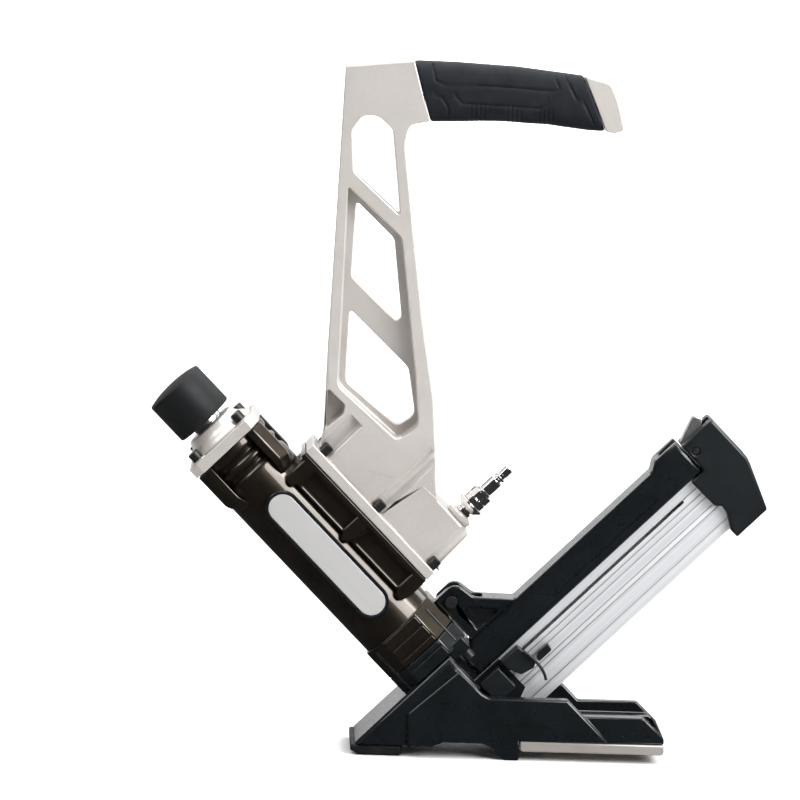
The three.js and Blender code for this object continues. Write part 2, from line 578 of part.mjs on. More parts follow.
// ================= magazine =================
const RAIL_GROOVES = [97, 91, 86, 78, 74, 62]; // distances of the grooves in each side, along -a
const RAIL_INNER = 6.7; // half width of the inner track
const railSection = () => {
  const far = [[RAIL_HALF, RAIL_TOP]];
  for (const t of RAIL_GROOVES) far.push([RAIL_HALF, t + 0.6], [RAIL_HALF - 0.7, t], [RAIL_HALF, t - 0.6]);
  far.push([RAIL_HALF, RAIL_LOW]);
  const near = far.map(([y, t]) => [-y, t]).reverse();
  const track = [[-RAIL_INNER, RAIL_TOP], [-RAIL_INNER, 58], [RAIL_INNER, 58], [RAIL_INNER, RAIL_TOP]];
  return new THREE.Shape([...near, ...track, ...far].map(([y, t]) => new THREE.Vector2(y, t)));
};
const magazineExtrusion = () => {
  const geometry = new THREE.ExtrudeGeometry(railSection(), { depth: MAG_FAR + 22 - MAG_NEAR, bevelEnabled: false });
  // section x is y, section y is -a, depth is b
  geometry.rotateZ(Math.PI / 2);
  geometry.translate(0, 0, MAG_NEAR);
  const slotCut = block(-97, -94.6, -40, 0, -6, 190);
  return cut(solid(geometry), slotCut);
};
add(drive, 'magazine_extrusion', magazineExtrusion(), aluminium);

const magazineBeam = () => {
  const beam = slab([
    [-130.3, -10], [-130.3, 187], [-135.6, 195], [-135.6, 218], [-118, 218.5], [-104.3, 218.5], [-104.3, -25],
    [-120, -25],
  ], -BEAM_HALF, BEAM_HALF, 3);
  const bracket = slab([
    [-128, -10], [-173, -10, 4], [-173, 8, 5], [-168, 13, 4], [-154, 15, 3], [-129, 39],
  ], -14, 14, 1.5);
  const webPocket = [[-150.5, -2], [-150.5, 8], [-134.5, 21.5], [-133, 20], [-133, -1]];
  const sidePanel = [[-125.5, 49], [-125.5, 168], [-115, 176], [-111, 176], [-111, 62], [-114.5, 61]];
  const cuts = [
    block(-180, -148, -8, 8, -20, 20), // the fork round the body's ear
    slab(webPocket, -20, -10.5),
    slab(webPocket, 10.5, 20),
    slab(sidePanel, -20, -16),
    slab(sidePanel, 16, 20),
    block(-140, -129.6, -8, 8, 200.5, 222), // room for the latch lever
    roundY(-20, 20, 2.4, ...PIVOT, 12),
  ];
  return cut(join(beam, bracket), ...cuts);
};
add(drive, 'magazine_beam', magazineBeam(), black);

add(drive, 'bracket_screw', join(
  roundY(-15, 13, 2.1, ...PIVOT, 12),
  roundY(-18, -14.3, 5, ...PIVOT, 16),
), darkSteel);

const endCap = () => {
  const outer = slab([
    [-130.4, 219], [-130.4, 251.6, 3], [-88, 251.6, 2], [-83, 250], [-46, 235], [-46, 202.3], [-54, 202.3],
    [-66, 209.2], [-73, 210.3], [-77, 206], [-104, 205.4], [-104, 219],
  ], -20, 20, 2);
  const cuts = [
    block(-104.2, -53.6, -RAIL_HALF - GAP, RAIL_HALF + GAP, 190, 227.4),
    block(-102, -60, -6.6, 6.6, 220, 260),
    block(-142, -112, -6.5, 6.5, 214, 250.2),
    roundY(-30, 30, 3.2, ...LATCH_AXIS, 12),
  ];
  return cut(outer, ...cuts);
};
add(drive, 'magazine_end_cap', endCap(), black);

add(drive, 'latch_pin', roundY(-19.5, 19.5, 2.9, ...LATCH_AXIS, 16), steel);
add(drive, 'latch_lever', cut(
  slab([[-116, 221], [-131, 219.3, 2], [-140, 242.5, 2], [-133.5, 246.5, 1], [-122, 231, 2]], -6, 6, 0.8),
  roundY(-12, 12, 3.2, ...LATCH_AXIS, 16),
), steel);

// fastener feed: the follower slides inside the rail and is pulled toward the nose
const follower = () => {
  const shoe = block(-101.5, -60, -6.2, 6.2, -4, 16);
  const arm = block(-96.6, -95, -15, 0, -2, 12);
  const grip = slab([[-102.5, -4], [-102.5, 14], [-84, 17], [-81, 12], [-84, 1], [-95, -4]], -27, -13.2, 1);
  return join(shoe, arm, grip);
};
add(drive, 'follower_carriage', follower(), black);

const wireCurve = new THREE.CatmullRomCurve3([
  new THREE.Vector3(-97, -28.9, 15.5), new THREE.Vector3(-88, -28.9, 16.8), new THREE.Vector3(-78, -28.9, 16.6),
  new THREE.Vector3(-71, -28.9, 14.6), new THREE.Vector3(-67.6, -28.9, 12.6),
]);
const circleShape = (radius) => {
  const shape = new THREE.Shape();
  shape.absarc(0, 0, radius, 0, Math.PI * 2, false);
  return shape;
};
add(drive, 'follower_wire', solid(new THREE.ExtrudeGeometry(circleShape(1.25), {
  steps: 10, extrudePath: wireCurve, curveSegments: 5,
})), darkSteel);

add(drive, 'follower_tab', slab([
  [-81, 18.4], [-81, 32], [-87, 33], [-87.5, 23], [-84, 18.4],
], -22, -14.2), black);

add(drive, 'feed_spring', roundY(-5.6, 5.6, 8, -82, 26, 20), steel);

add(drive, 'nose_guide', slab([
  [-101.5, -29], [-101.5, -8.5, 1], [-81, -8.5, 2], [-79.5, -12], [-86, -29],
], -28.2, -13.2, 1), black);

add(drive, 'driver_guide', cut(
  block(-106, -56, -9, 9, -43, -38.4),
  block(-120, -40, -4.4, 4.4, -46, -42.2),
  block(-104, -58, -3, 3, -50, -30),
), steel);

export default world;
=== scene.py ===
# %% [markdown]
# A flooring nailer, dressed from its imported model. Castings are softened copies of the model's own
# solids, because their fit is already right. Turned, moulded and wound pieces are built again with a
# finer surface, each in the place that the model gives it.

# %% Load the frame
import json
import math

import bmesh
import bpy
from mathutils import Matrix, Vector


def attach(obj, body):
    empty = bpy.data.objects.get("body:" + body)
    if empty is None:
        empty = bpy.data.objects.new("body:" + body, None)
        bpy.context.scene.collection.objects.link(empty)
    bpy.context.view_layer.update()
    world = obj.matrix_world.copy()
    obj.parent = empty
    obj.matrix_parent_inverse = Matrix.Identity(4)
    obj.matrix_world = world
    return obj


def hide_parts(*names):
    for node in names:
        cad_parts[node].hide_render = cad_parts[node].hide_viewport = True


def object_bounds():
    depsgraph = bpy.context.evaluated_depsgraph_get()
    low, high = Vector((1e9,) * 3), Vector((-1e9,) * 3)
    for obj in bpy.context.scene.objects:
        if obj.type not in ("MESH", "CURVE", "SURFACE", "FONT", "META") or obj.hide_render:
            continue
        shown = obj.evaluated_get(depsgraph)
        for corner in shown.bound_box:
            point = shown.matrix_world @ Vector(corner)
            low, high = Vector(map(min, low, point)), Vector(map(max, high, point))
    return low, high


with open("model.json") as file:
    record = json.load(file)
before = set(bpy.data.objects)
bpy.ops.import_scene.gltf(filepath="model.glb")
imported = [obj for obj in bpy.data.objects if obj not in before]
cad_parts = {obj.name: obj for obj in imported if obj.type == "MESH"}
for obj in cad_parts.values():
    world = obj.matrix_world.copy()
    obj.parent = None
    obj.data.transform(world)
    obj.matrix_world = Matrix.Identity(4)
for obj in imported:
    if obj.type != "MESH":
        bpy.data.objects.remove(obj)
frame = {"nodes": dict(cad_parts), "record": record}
cad_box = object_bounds()
MM = 0.001

# %% [markdown]
# The drive line slopes 45 degrees. Places on the body, handle flange and magazine are easier to say as
# a (down along the drive line), y (to the far side) and b (up along the magazine), all in millimetres.

# %% The drive frame
SLOPE = math.radians(45)
DRIVE = Matrix.Rotation(SLOPE, 4, "Y")
UPRIGHT = Matrix.Identity(4)
DRIVE_B = -45  # where the drive line crosses b


def to_world(matrix):
    return Matrix.Scale(MM, 4) @ matrix


bodies = frame["record"]["behaviour"]["bodies"]
body_of_node = {node: body for body, nodes in bodies.items() for node in nodes}
print("drive frame ready")

# %% [markdown]
# A finished mesh becomes a piece in one step: it gets its material, rides on the body of the node that it
# stands for, and hides that node. Faces shade smoothly, except across edges sharper than a given angle.

# %% Make a piece


def piece(name, bm, material, node, matrix=None, smooth=40, hide=True, curved=True):
    if matrix is not None:
        placed(bm, to_world(matrix))
    if curved:
        shaded(bm)
    for edge in sharp_edges(bm, smooth):
        edge.smooth = False
    mesh = bpy.data.meshes.new(name)
    bm.to_mesh(mesh)
    bm.free()
    mesh.materials.append(material)
    obj = bpy.data.objects.new(name, mesh)
    bpy.context.scene.collection.objects.link(obj)
    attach(obj, body_of_node[node])
    if hide:
        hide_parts(node)
    return obj


def outward(bm):
    bmesh.ops.remove_doubles(bm, verts=bm.verts, dist=1e-4)
    bmesh.ops.recalc_face_normals(bm, faces=bm.faces)


def shaded(bm):
    """Turned and rounded shapes shade smoothly all over."""
    for face in bm.faces:
        face.smooth = True
    return bm


def placed(bm, matrix):
    bmesh.ops.transform(bm, matrix=matrix, verts=bm.verts)
    return bm


def sharp_edges(bm, angle=32):
    return [e for e in bm.edges if e.is_manifold and e.calc_face_angle(0) > math.radians(angle)]


def eased(bm, width, segments, edges):
    bmesh.ops.bevel(
        bm, geom=edges, offset=width, offset_type="OFFSET", segments=segments, profile=0.5,
        affect="EDGES", clamp_overlap=False, material=-1,
    )


EASED_WIDTH = 3.2  # a face narrower than this belongs to a rounded edge


def flat_kept_flat(bm, unit=1.0):
    """Only the narrow faces of rounded edges shade smoothly; broad flat faces stay flat."""
    for face in bm.faces:
        width = face.calc_area() / max(e.calc_length() for e in face.edges)
        face.smooth = width < EASED_WIDTH * unit
    bmesh.ops.triangulate(bm, faces=[f for f in bm.faces if not f.smooth])


def reach(edge, face):
    """How far a face extends from one of its edges."""
    start = edge.verts[0].co
    way = (edge.verts[1].co - start).normalized()
    return max(((v.co - start) - way * way.dot(v.co - start)).length for v in face.verts)


def has_room(edge, width):
    """An edge is only rounded where the faces beside it are broad enough to take the curve."""
    if edge.calc_length() < 0.3 * width:
        return False
    return all(reach(edge, face) > 2.2 * width for face in edge.link_faces)


SAME_PLACE = 2e-5
SAME_PLANE = math.radians(0.6)


def softened(node, width, material):
    """A copy of a model node with its flat faces merged and its edges rounded."""
    bm = bmesh.new()
    bm.from_mesh(frame["nodes"][node].data)
    bmesh.ops.remove_doubles(bm, verts=bm.verts, dist=SAME_PLACE)
    bmesh.ops.dissolve_limit(bm, angle_limit=SAME_PLANE, verts=bm.verts, edges=bm.edges)
    bmesh.ops.dissolve_degenerate(bm, dist=SAME_PLACE, edges=bm.edges)
    eased(bm, width * MM, 2, [e for e in sharp_edges(bm) if has_room(e, width * MM)])
    flat_kept_flat(bm, MM)
    return piece(node + "_body", bm, material, node, curved=False)


def spun(profile, segments=72):
    """A closed turning about the local z axis; the profile is (height, radius) pairs."""
    bm = bmesh.new()
    verts = [bm.verts.new((radius, 0, height)) for height, radius in profile]
    edges = [bm.edges.new(pair) for pair in zip(verts, verts[1:])]
    bmesh.ops.spin(
        bm, geom=verts + edges, cent=(0, 0, 0), axis=(0, 0, 1), angle=math.tau, steps=segments,
        use_merge=True,
    )
    outward(bm)
    return bm


def quarter_turn(axis, way=1):
    return Matrix.Rotation(way * math.radians(90), 4, axis)


ALONG_A = DRIVE @ Matrix.Translation((0, 0, DRIVE_B)) @ quarter_turn("Y")  # z runs down the drive line
ACROSS = DRIVE @ quarter_turn("Z")  # an outline in y and b, thick along -a


def along_b(a, y=0):
    return DRIVE @ Matrix.Translation((a, y, 0))


CORNER_STEPS = 5


def rounded(points):
    """An outline with its corners rounded; points are (x, z) or (x, z, radius)."""
    out = []
    for i, (x, z, *more) in enumerate(points):
        here = Vector((x, z))
        before = Vector(points[i - 1][:2]) - here
        after = Vector(points[(i + 1) % len(points)][:2]) - here
        size = min(more[0] if more else 0, before.length * 0.45, after.length * 0.45)
        if size <= 0:
            out.append(here)
            continue
        start, end = here + before.normalized() * size, here + after.normalized() * size
        for k in range(CORNER_STEPS + 1):
            t = k / CORNER_STEPS
            out.append(start * (1 - t) ** 2 + here * 2 * t * (1 - t) + end * t * t)
    return out


BORE_STEPS = 72


def bore(radius):
    """A round hole about the drive line, for a plate that lies across it."""
    turns = [step * math.tau / BORE_STEPS for step in range(BORE_STEPS)]
    return [(radius * math.cos(turn), DRIVE_B + radius * math.sin(turn)) for turn in turns]


def plate(points, y0, y1, ease, holes=(), segments=3):
    """An outline in the x-z plane, thick along y, with eased edges and with holes through it."""
    bm = bmesh.new()
    edges = []
    for outline in (points, *holes):
        verts = [bm.verts.new((x, y0, z)) for x, z in rounded(outline)]
        edges += [bm.edges.new((verts[i - 1], verts[i])) for i in range(len(verts))]
    bmesh.ops.triangle_fill(bm, use_beauty=True, edges=edges)
    bmesh.ops.dissolve_limit(bm, angle_limit=0.01, verts=bm.verts, edges=bm.edges)
    grown = bmesh.ops.extrude_face_region(bm, geom=bm.faces[:])
    moved = [item for item in grown["geom"] if isinstance(item, bmesh.types.BMVert)]
    bmesh.ops.translate(bm, verts=moved, vec=(0, y1 - y0, 0))
    bmesh.ops.recalc_face_normals(bm, faces=bm.faces)
    if ease:
        eased(bm, ease, segments, sharp_edges(bm, 40))
    flat_kept_flat(bm)
    return bm


def on_both_sides(points, inner, outer, ease, holes=(), segments=3):
    """The same plate on the near and the far side, between two distances from the middle."""
    for side in (-1, 1):
        low, high = sorted((side * inner, side * outer))
        yield placed(plate(points, low, high, ease, holes, segments), DRIVE)


def merged(*parts):
    """Several bodies in one mesh."""
    whole = bmesh.new()
    for part in parts:
        mesh = bpy.data.meshes.new("part")
        part.to_mesh(mesh)
        part.free()
        whole.from_mesh(mesh)
        bpy.data.meshes.remove(mesh)
    return whole


print("piece helpers ready")

# %% [markdown]
# Finishes are worked out by nodes. A small class wraps a socket, so that sums on it are written as
# ordinary Python and every other node comes from one method.

# %% Shader helper


class Wire:
    def __init__(self, tree, socket):
        self.tree = tree
        self.socket = socket

    def node(self, kind, settings=None, inputs=None, output=0):
        made = self.tree.nodes.new(kind)
        for key, value in (settings or {}).items():
            setattr(made, key, value)
        for key, value in (inputs or {}).items():
            if isinstance(value, Wire):
                self.tree.links.new(value.socket, made.inputs[key])
            else:
                made.inputs[key].default_value = value
        return Wire(self.tree, made.outputs[output])

    def sum(self, operation, other, swap=False):
        pair = (other, self) if swap else (self, other)
        return self.node("ShaderNodeMath", {"operation": operation}, dict(enumerate(pair)))

    def __add__(self, other):
        return self.sum("ADD", other)

    __radd__ = __add__

    def __mul__(self, other):
        return self.sum("MULTIPLY", other)

    __rmul__ = __mul__

    def __sub__(self, other):
        return self.sum("SUBTRACT", other)

    def __rsub__(self, other):
        return self.sum("SUBTRACT", other, swap=True)

    def noise(self, scale, detail=3.0, rough=0.5):
        inputs = {"Vector": self, "Scale": scale, "Detail": detail, "Roughness": rough}
        return self.node("ShaderNodeTexNoise", {}, inputs)

    def stretched(self, scale, turn=(0, 0, 0)):
        # the turn comes first, so that the scale works along the turned axes
        turned = self.node("ShaderNodeMapping", {}, {"Vector": self, "Rotation": turn})
        return self.node("ShaderNodeMapping", {}, {"Vector": turned, "Scale": scale})

    def spread(self, low, high, to_low=0.0, to_high=1.0):
        inputs = {"Value": self, "From Min": low, "From Max": high, "To Min": to_low, "To Max": to_high}
        return self.node("ShaderNodeMapRange", {"clamp": True}, inputs)

    def blend(self, first, second):
        settings = {"data_type": "RGBA", "clamp_factor": True}
        return self.node("ShaderNodeMix", settings, {0: self, 6: first, 7: second}, output=2)

    def bump(self, strength, distance):
        inputs = {"Height": self, "Strength": strength, "Distance": distance}
        return self.node("ShaderNodeBump", {}, inputs)


def finish(name, paint, **constants):
    """A material whose paint function returns what changes over the surface."""
    material = bpy.data.materials.new(name)
    material.use_nodes = True
    tree = material.node_tree
    shader = tree.nodes["Principled BSDF"]
    place = Wire(tree, tree.nodes.new("ShaderNodeTexCoord").outputs["Object"])
    for key, value in constants.items():
        shader.inputs[key.replace("_", " ")].default_value = value
    for key, wire in paint(place).items():
        tree.links.new(wire.socket, shader.inputs[key])
    return material


def grey(value):
    return (value, value, value, 1)


print("shader helper ready")

# %% [markdown]
# The body is a dark bronze metallic under a clear gloss coat. The handle and the head cap are a pale
# champagne with very fine flake and the faint orange peel of a sprayed coat. The base and the magazine
# beam are painted black. Each varies a little in tone and gloss from place to place.

# %% Painted castings


def bronze_paint(place):
    cloud = place.noise(38, 4)
    return {
        "Base Color": cloud.spread(0.35, 0.7).blend((0.046, 0.037, 0.028, 1), (0.062, 0.05, 0.038, 1)),
        "Roughness": place.noise(90, 3).spread(0.3, 0.7, 0.32, 0.38),
    }


def champagne_paint(place):
    cloud = place.noise(26, 4)
    flake = place.noise(1300, 2).spread(0.35, 0.65)
    tone = cloud.spread(0.3, 0.7).blend((0.53, 0.496, 0.468, 1), (0.59, 0.555, 0.525, 1))
    return {
        "Base Color": (flake * 0.16).blend(tone, (0.84, 0.8, 0.76, 1)),
        "Roughness": place.noise(120, 3).spread(0.3, 0.7, 0.34, 0.42),
        "Normal": place.noise(1500, 2).bump(0.05, 0.0002),
    }


def black_coat(place):
    cloud = place.noise(45, 4)
    return {
        "Base Color": cloud.spread(0.3, 0.7).blend((0.0035, 0.0055, 0.0068, 1), (0.0055, 0.008, 0.0098, 1)),
        "Roughness": place.noise(200, 3).spread(0.3, 0.7, 0.26, 0.34),
    }


BRONZE = finish("bronze_paint", bronze_paint, Metallic=0.9, Coat_Weight=0.8, Coat_Roughness=0.04)
CHAMPAGNE = finish("champagne_paint", champagne_paint, Metallic=0.35, Coat_Weight=0.4, Coat_Roughness=0.1)
BLACK_CASTING = finish(
    "black_coat", black_coat, Specular_IOR_Level=0.4, Coat_Weight=0.5, Coat_Roughness=0.07,
)
print("painted castings:", BRONZE.name, CHAMPAGNE.name, BLACK_CASTING.name)

# %% [markdown]
# The end cap and the small magazine parts are moulded nylon with a slight shine. The grip is a soft,
# pebbled rubber, for which a cell pattern gives the grain. The striking cap is harder rubber, with a few
# scuffs that are both paler and duller than the rest.

# %% Mouldings and rubber


def nylon(place):
    cloud = place.noise(60, 4)
    return {
        "Base Color": cloud.spread(0.3, 0.7).blend((0.0055, 0.008, 0.0095, 1), (0.008, 0.011, 0.013, 1)),
        "Roughness": place.noise(300, 3).spread(0.3, 0.7, 0.36, 0.46),
    }


def soft_grip(place):
    cloud = place.noise(70, 4)
    grain = place.node("ShaderNodeTexVoronoi", {}, {"Vector": place, "Scale": 1900.0})
    return {
        "Base Color": cloud.spread(0.3, 0.7).blend((0.006, 0.008, 0.011, 1), (0.011, 0.013, 0.017, 1)),
        "Roughness": place.noise(150, 3).spread(0.3, 0.7, 0.52, 0.66),
        "Normal": grain.bump(0.22, 0.0002),
    }


def cap_rubber(place):
    scuff = place.noise(55, 6, 0.65)
    return {
        "Base Color": scuff.spread(0.5, 0.8).blend((0.008, 0.009, 0.01, 1), (0.018, 0.019, 0.021, 1)),
        "Roughness": scuff.spread(0.3, 0.7, 0.46, 0.62),
        "Normal": place.noise(2600, 2).bump(0.15, 0.0002),
    }


def seal_rubber(place):
    return {"Roughness": place.noise(300).spread(0.3, 0.7, 0.6, 0.75)}


NYLON = finish("black_nylon", nylon, Specular_IOR_Level=0.35, Coat_Weight=0.25, Coat_Roughness=0.15)
GRIP = finish("grip_rubber", soft_grip, Specular_IOR_Level=0.22)
CAP_RUBBER = finish("cap_rubber", cap_rubber, Specular_IOR_Level=0.28)
SEAL = finish("seal_rubber", seal_rubber, Base_Color=grey(0.012))
print("mouldings:", NYLON.name, GRIP.name, CAP_RUBBER.name, SEAL.name)

# %% [markdown]
# Bare metals differ mostly in how their surface was made. Turned pieces have a fine even grain, ground ones
# fine lines in the direction of the cut, plating is smooth, and black oxide is dark with a fine tooth. The
# rail is drawn aluminium, so its lines and its shallow grooves run along its whole length.

# %% Metals


def turned_steel(place):
    fine = place.noise(900, 4, 0.6)
    return {
        "Base Color": fine.spread(0.3, 0.7).blend(grey(0.5), grey(0.62)),
        "Roughness": fine.spread(0.3, 0.7, 0.24, 0.36),
    }


def plating(place):
    return {
        "Base Color": place.noise(80, 3).spread(0.3, 0.7).blend(grey(0.7), grey(0.8)),
        "Roughness": place.noise(160, 4).spread(0.3, 0.7, 0.14, 0.2),
    }


def oxide(place):
    return {
        "Base Color": place.noise(400, 4).spread(0.3, 0.7).blend(grey(0.02), grey(0.045)),
        "Roughness": place.noise(600, 3).spread(0.3, 0.7, 0.32, 0.45),
        "Normal": place.noise(2500, 2).bump(0.1, 0.0001),
    }


GROOVES = [97, 91, 86, 78, 74, 62]  # how high each groove lies across the rail's side
GROOVE_HALF = 0.55  # half of a groove's width


def rail_anodise(place):
    # turned by 45 degrees, x runs along the rail and z runs up across its side
    turned = place.stretched((1, 1, 1), (0, SLOPE, 0))
    up = turned.node("ShaderNodeSeparateXYZ", {}, {"Vector": turned}, output=2)
    # painted shade: the rail's colour darkens towards grey along each groove line, as a recess would be in
    # shade
    painted_groove_shade = sum(
        up.node("ShaderNodeMath", {"operation": "COMPARE"}, {0: up, 1: at * MM, 2: GROOVE_HALF * MM})
        for at in GROOVES
    )
    lines = place.stretched((3, 900, 2400), (0, SLOPE, 0)).noise(1, 3)
    broad = place.stretched((1.5, 60, 420), (0, SLOPE, 0)).noise(1, 2)
    metal = broad.spread(0.3, 0.7).blend((0.62, 0.635, 0.66, 1), (0.76, 0.77, 0.79, 1))
    return {
        "Base Color": (painted_groove_shade * 0.6).blend(metal, grey(0.25)),
        "Roughness": lines.spread(0.3, 0.7, 0.3, 0.42),
        "Normal": lines.bump(0.04, 0.0002),
    }


def ground_plate(place):
    cloud = place.noise(30, 4)
    lines = place.stretched((8, 1600, 1600)).noise(1, 3)
    return {
        "Base Color": cloud.spread(0.3, 0.7).blend((0.64, 0.6, 0.55, 1), (0.73, 0.69, 0.64, 1)),
        "Roughness": lines.spread(0.3, 0.7, 0.34, 0.48),
        "Normal": lines.bump(0.1, 0.0001),
    }


def bare_alloy(place):
    fine = place.noise(700, 4)
    return {
        "Base Color": fine.spread(0.3, 0.7).blend(grey(0.55), grey(0.66)),
        "Roughness": fine.spread(0.3, 0.7, 0.3, 0.42),
    }


def badge_silver(place):
    lines = place.stretched((3, 900, 2600), (0, -SLOPE, 0)).noise(1, 3)
    return {
        "Base Color": lines.spread(0.3, 0.7).blend((0.49, 0.485, 0.48, 1), (0.55, 0.545, 0.54, 1)),
        "Roughness": lines.spread(0.3, 0.7, 0.3, 0.42),
        "Normal": lines.bump(0.08, 0.0001),
    }


BADGE_RIM = finish("badge_rim", black_coat, Metallic=0.1, Coat_Weight=0.6, Coat_Roughness=0.08)
STEEL = finish("turned_steel", turned_steel, Metallic=1.0)
CHROME = finish("bright_plating", plating, Metallic=1.0)
OXIDE = finish("black_oxide", oxide, Metallic=0.6)
RAIL = finish("rail_anodise", rail_anodise, Metallic=0.35)
SOLE = finish("ground_sole", ground_plate, Metallic=0.7)
ALLOY = finish("bare_alloy", bare_alloy, Metallic=1.0)
BADGE = finish("badge_silver", badge_silver, Metallic=0.25)
print("metals:", [m.name for m in (STEEL, CHROME, OXIDE, RAIL, SOLE, ALLOY, BADGE, BADGE_RIM)])

# %% [markdown]
# The striking cap is a moulded rubber puck on a turned steel stem. A turning is one profile spun round an
# axis, so the crown, the crisp rim and the small lead-in at the bottom are all in its list of radii.

# %% Striking cap and stem
CAP_TOP, CROWN_RISE = -444.5, 3.0
cap_crown = [(CAP_TOP + CROWN_RISE * (r / 24.2) ** 2.4, r) for r in range(0, 25, 3)]
cap_profile = cap_crown + [
    (-441.2, 24.5), (-440.6, 24.9), (-439.8, 25), (-406.2, 25), (-405.4, 24.7), (-405, 24), (-405, 9.4),
    (-424.6, 9.4), (-424.6, 0),
]
piece("striker_cap_moulding", spun(cap_profile, 96), CAP_RUBBER, "striker_cap", matrix=ALONG_A)
stem_profile = [
    (-424.3, 0), (-424.3, 8.4), (-423.7, 9), (-405, 9), (-404.6, 12.4), (-404, 13), (-401.6, 13),
    (-401, 12.2), (-400.4, 12.2), (-399.8, 13), (-377, 13), (-377, 15.5), (-373.5, 15.5), (-373.5, 7),
    (-352.4, 7), (-351.8, 6.4), (-351.8, 0),
]
piece("plunger_stem_turning", spun(stem_profile), STEEL, "plunger_stem", matrix=ALONG_A)
print("striking cap", len(cap_profile), "profile points")

# %% [markdown]
# The return spring is one round wire. A small circle is spun about the stem's axis and lifted a little at
# each step, which is how a spring is wound.

# %% Plunger spring
SPRING_LOW, SPRING_HIGH = -372.2, -353.3
SPRING_R, WIRE_R = 10, 0.9
SPRING_TURNS = 4
STEPS_PER_TURN = 40
spring = bmesh.new()
bmesh.ops.create_circle(spring, cap_ends=True, segments=12, radius=WIRE_R)
placed(spring, Matrix.Translation((SPRING_R, 0, SPRING_LOW)) @ quarter_turn("X"))
lift = (SPRING_HIGH - SPRING_LOW) / (SPRING_TURNS * STEPS_PER_TURN)
bmesh.ops.spin(
    spring, geom=spring.verts[:] + spring.edges[:] + spring.faces[:], cent=(0, 0, 0), axis=(0, 0, 1),
    dvec=(0, 0, lift), angle=math.tau * SPRING_TURNS, steps=SPRING_TURNS * STEPS_PER_TURN, use_merge=False,
)
outward(spring)
piece("plunger_spring_wire", spring, STEEL, "plunger_spring", matrix=ALONG_A)
print("spring turns", SPRING_TURNS)

# %% [markdown]
# Socket-head screws are turned, and then the wall of the socket is pushed out to a hexagon: each point
# keeps its angle, and its distance from the axis follows the hexagon's side.

# %% Socket-head screws


def hex_reach(angle, flat):
    return flat / math.cos((angle % math.radians(60)) - math.radians(30))


def move_out(vert, angle, radius):
    vert.co.x = radius * math.cos(angle)
    vert.co.y = radius * math.sin(angle)


def socket_screw(name, node, matrix, top, base, tip, head, shank):
    """Local z points out of the head; top, base and tip are heights along it, head and shank radii."""
    flat = head * 0.46
    floor = top - head * 0.8
    bm = spun([
        (tip, 0), (tip, shank * 0.7), (tip + 0.8, shank), (base, shank), (base, head - 0.3),
        (base + 0.3, head), (top - 0.7, head), (top, head - 0.7), (top, flat + 0.35), (top - 0.35, flat),
        (floor, flat), (floor, 0),
    ], 48)
    for vert in bm.verts:
        radius = math.hypot(vert.co.x, vert.co.y)
        if 0.5 * flat < radius < flat + 0.4 and vert.co.z > top - head:
            angle = math.atan2(vert.co.y, vert.co.x)
            move_out(vert, angle, hex_reach(angle, flat) + radius - flat)
    return piece(name, bm, OXIDE, node, matrix=matrix, smooth=30)


def screw_row(name, node, places, *sizes):
    """One screw for each place, numbered from 1 as the model's nodes are."""
    for number, place in enumerate(places, 1):
        socket_screw(f"{name}_{number}", f"{node}_{number}", place, *sizes)


def drilled_along_a(y, b, way):
    return DRIVE @ Matrix.Translation((0, y, b)) @ quarter_turn("Y", way)


CAP_SCREW_OFF = 23
FLANGE_SCREWS_A = (-324, -262, -198.5)
cap_corners = [(y, b) for b in (-CAP_SCREW_OFF, CAP_SCREW_OFF) for y in (-CAP_SCREW_OFF, CAP_SCREW_OFF)]
cap_places = [drilled_along_a(y, DRIVE_B + b, -1) for y, b in cap_corners]
screw_row("cap_screw", "head_screw", cap_places, 394.5, 386.5, 358.2, 4.7, 2.5)
flange_places = [along_b(a, y) for a in FLANGE_SCREWS_A for y in (-27.5, 27.5)]
screw_row("flange_screw", "handle_screw", flange_places, 16, 8.1, -13.8, 4.5, 2)
number = 0
for b, base in ((-19, -128.6), (-71, -128.4)):
    for y in (-24, 24):
        number += 1
        socket_screw(
            f"nose_screw_{number}", f"collar_screw_{number}", drilled_along_a(y, b, 1),
            base + 7.5, base, -175.8, 4.6, 2,
        )
upside_down = Matrix.Rotation(math.radians(180), 4, "X")
sole_places = [Matrix.Translation((x, y, 0)) @ upside_down for x in (-40, 34) for y in (-14, 14)]
screw_row("plate_screw", "sole_screw", sole_places, -0.8, -4.6, -12.4, 4.3, 2.1)
print("socket screws:", len(cap_places) + len(flange_places) + number + len(sole_places))

# %% [markdown]
# The badge is a long plate with round ends, set in a raised black rim. Its outline is a circle pulled
# apart, and insets of its face give the rim, the step and a fine engraved border. It carries no words.

# %% Badges
BADGE_A, BADGE_HALF = -262.5, 51.5
BADGE_Y = 33.0
RIM_R, SILVER_R = 14, 11.2
ROUND_STEPS = 96


def stadium(radius, depth):
    bm = bmesh.new()
    bmesh.ops.create_circle(bm, cap_ends=True, segments=ROUND_STEPS, radius=radius)
    half_step = Matrix.Rotation(math.tau / ROUND_STEPS / 2, 3, "Z")
    bmesh.ops.rotate(bm, verts=bm.verts, cent=(0, 0, 0), matrix=half_step)
    for vert in bm.verts:
        vert.co.x += math.copysign(BADGE_HALF, vert.co.x)
    grown = bmesh.ops.extrude_face_region(bm, geom=bm.faces[:])
    moved = [item for item in grown["geom"] if isinstance(item, bmesh.types.BMVert)]
    bmesh.ops.translate(bm, verts=moved, vec=(0, 0, depth))
    bmesh.ops.recalc_face_normals(bm, faces=bm.faces)
    return bm


def top_face(bm):
    return max((f for f in bm.faces if f.normal.z > 0.9), key=lambda f: f.calc_center_median().z)


RIM_STEPS = [(0.8, 1.0), (1.1, 0), (0.7, -1.2)]
SILVER_STEPS = [(0.35, 0.2), (0.9, 0), (0.15, -0.15), (0.3, 0), (0.15, 0.15)]


